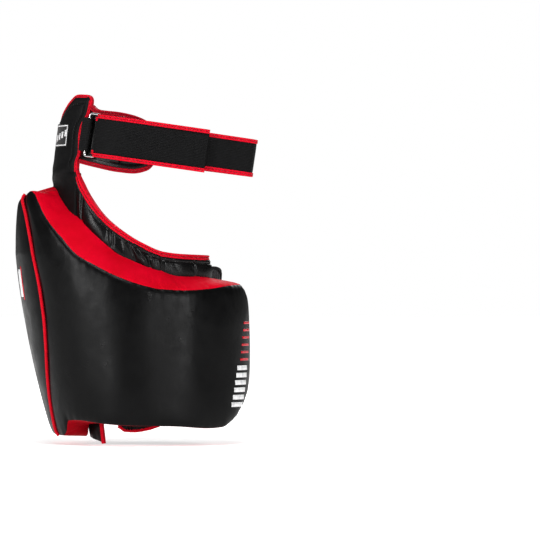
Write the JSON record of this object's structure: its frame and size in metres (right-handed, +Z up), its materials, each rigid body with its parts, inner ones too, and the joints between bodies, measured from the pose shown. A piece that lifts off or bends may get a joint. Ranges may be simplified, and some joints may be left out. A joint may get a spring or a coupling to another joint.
{
  "type": "thigh pad",
  "caption": "Padded guard that wraps the front and outer side of a trainer's thigh for kick practice, with a hip hanger, a waist strap and two leg straps.",
  "frame": {"origin": "centre of the channel that the thigh fills, level with the middle of the pad", "axes": "+Z up the thigh to the waist, -Y the wearer's front, -X the wearer's outer side of the right leg, +X the inner thigh"},
  "size_m": [0.3336, 0.2583, 0.477],
  "materials": {
    "black_leather": "satin",
    "red_leather": "satin",
    "red_binding": "satin",
    "black_lining": "matte",
    "foam": "matte",
    "mesh": "matte",
    "webbing": "matte",
    "elastic": "matte",
    "hook_and_loop": "matte",
    "wire": "polished",
    "print_white": "matte",
    "print_red": "matte",
    "label": "satin"
  },
  "bodies": {
    "guard": {"front_foam_inner": "foam", "front_foam_middle": "foam", "front_foam_outer": "foam", "side_foam_inner": "foam", "side_foam_middle": "foam", "side_foam_outer": "foam", "front_cover": "black_leather", "side_cover": "black_leather", "side_piping": "red_binding", "channel_lining": "black_lining", "top_gusset_outer": "red_leather", "top_gusset_inner": "red_leather", "bottom_gusset_outer": "red_leather", "bottom_gusset_inner": "red_leather", "inner_edge_panel": "red_leather", "rear_edge_panel": "red_leather", "collar_foam": "foam", "collar_outer_leather": "black_leather", "collar_inner_leather": "black_lining", "collar_binding": "red_binding", "hanger_root": "black_leather", "lining_hem": "black_lining", "hem_binding": "red_binding", "lower_tab": "black_leather", "lower_tab_binding": "red_binding", "front_bars_white": "print_white", "front_bars_red": "print_red", "side_bar_white": "print_white", "side_bar_red": "print_red", "stretch_wing": "mesh", "upper_leg_strap": "elastic", "upper_leg_loop_patch": "hook_and_loop", "upper_leg_ring_anchor": "webbing", "lower_leg_strap": "elastic", "lower_leg_loop_patch": "hook_and_loop", "lower_leg_ring_anchor": "webbing"},
    "hanger": {"hanger_cover": "black_leather", "hanger_foam": "foam", "hanger_lining": "black_lining", "hanger_binding": "red_binding", "label_patch": "label", "tongue_cover": "black_leather", "tongue_foam": "foam", "tongue_lining": "black_lining", "tongue_binding": "red_binding", "strap_keeper": "black_leather", "waist_strap": "webbing", "waist_strap_binding": "red_binding", "waist_loop_patch": "hook_and_loop", "waist_ring_anchor": "webbing"},
    "waist_ring": {"waist_ring": "wire"},
    "waist_flap": {"waist_flap": "webbing", "waist_flap_binding": "red_binding", "waist_hook_patch": "hook_and_loop"},
    "upper_leg_ring": {"upper_leg_ring": "wire"},
    "lower_leg_ring": {"lower_leg_ring": "wire"},
    "upper_leg_flap": {"upper_leg_flap": "elastic", "upper_leg_hook_patch": "hook_and_loop"},
    "lower_leg_flap": {"lower_leg_flap": "elastic", "lower_leg_hook_patch": "hook_and_loop"}
  },
  "joints": [
    {"name": "hanger_flex", "type": "hinge", "parent": "guard", "child": "hanger", "pos_m": [-0.095, 0, 0.228], "axis": [0, 1, 0], "range_deg": [-12, 10], "stiffness_Nm_per_rad": 8},
    {"name": "waist_ring_rock", "type": "hinge", "parent": "hanger", "child": "waist_ring", "pos_m": [-0.06392, -0.08399, 0.288], "axis": [0.1409, 0, 0.99], "range_deg": [-1.5, 1.5]},
    {"name": "waist_flap_peel", "type": "hinge", "parent": "hanger", "child": "waist_flap", "pos_m": [-0.04893, -0.09788, 0.28587], "axis": [0.1409, 0, 0.99], "range_deg": [-115, 0]},
    {"name": "upper_leg_ring_rock", "type": "hinge", "parent": "guard", "child": "upper_leg_ring", "pos_m": [0.11443, 0.02421, 0.044], "axis": [0, 0, 1], "range_deg": [-3, 3]},
    {"name": "upper_leg_flap_peel", "type": "hinge", "parent": "guard", "child": "upper_leg_flap", "pos_m": [0.11514, 0.0418, 0.044], "axis": [0, 0, 1], "range_deg": [-115, 0]},
    {"name": "lower_leg_ring_rock", "type": "hinge", "parent": "guard", "child": "lower_leg_ring", "pos_m": [0.11443, 0.02421, -0.066], "axis": [0, 0, 1], "range_deg": [-3, 3]},
    {"name": "lower_leg_flap_peel", "type": "hinge", "parent": "guard", "child": "lower_leg_flap", "pos_m": [0.11514, 0.0418, -0.066], "axis": [0, 0, 1], "range_deg": [-115, 0]}
  ]
}
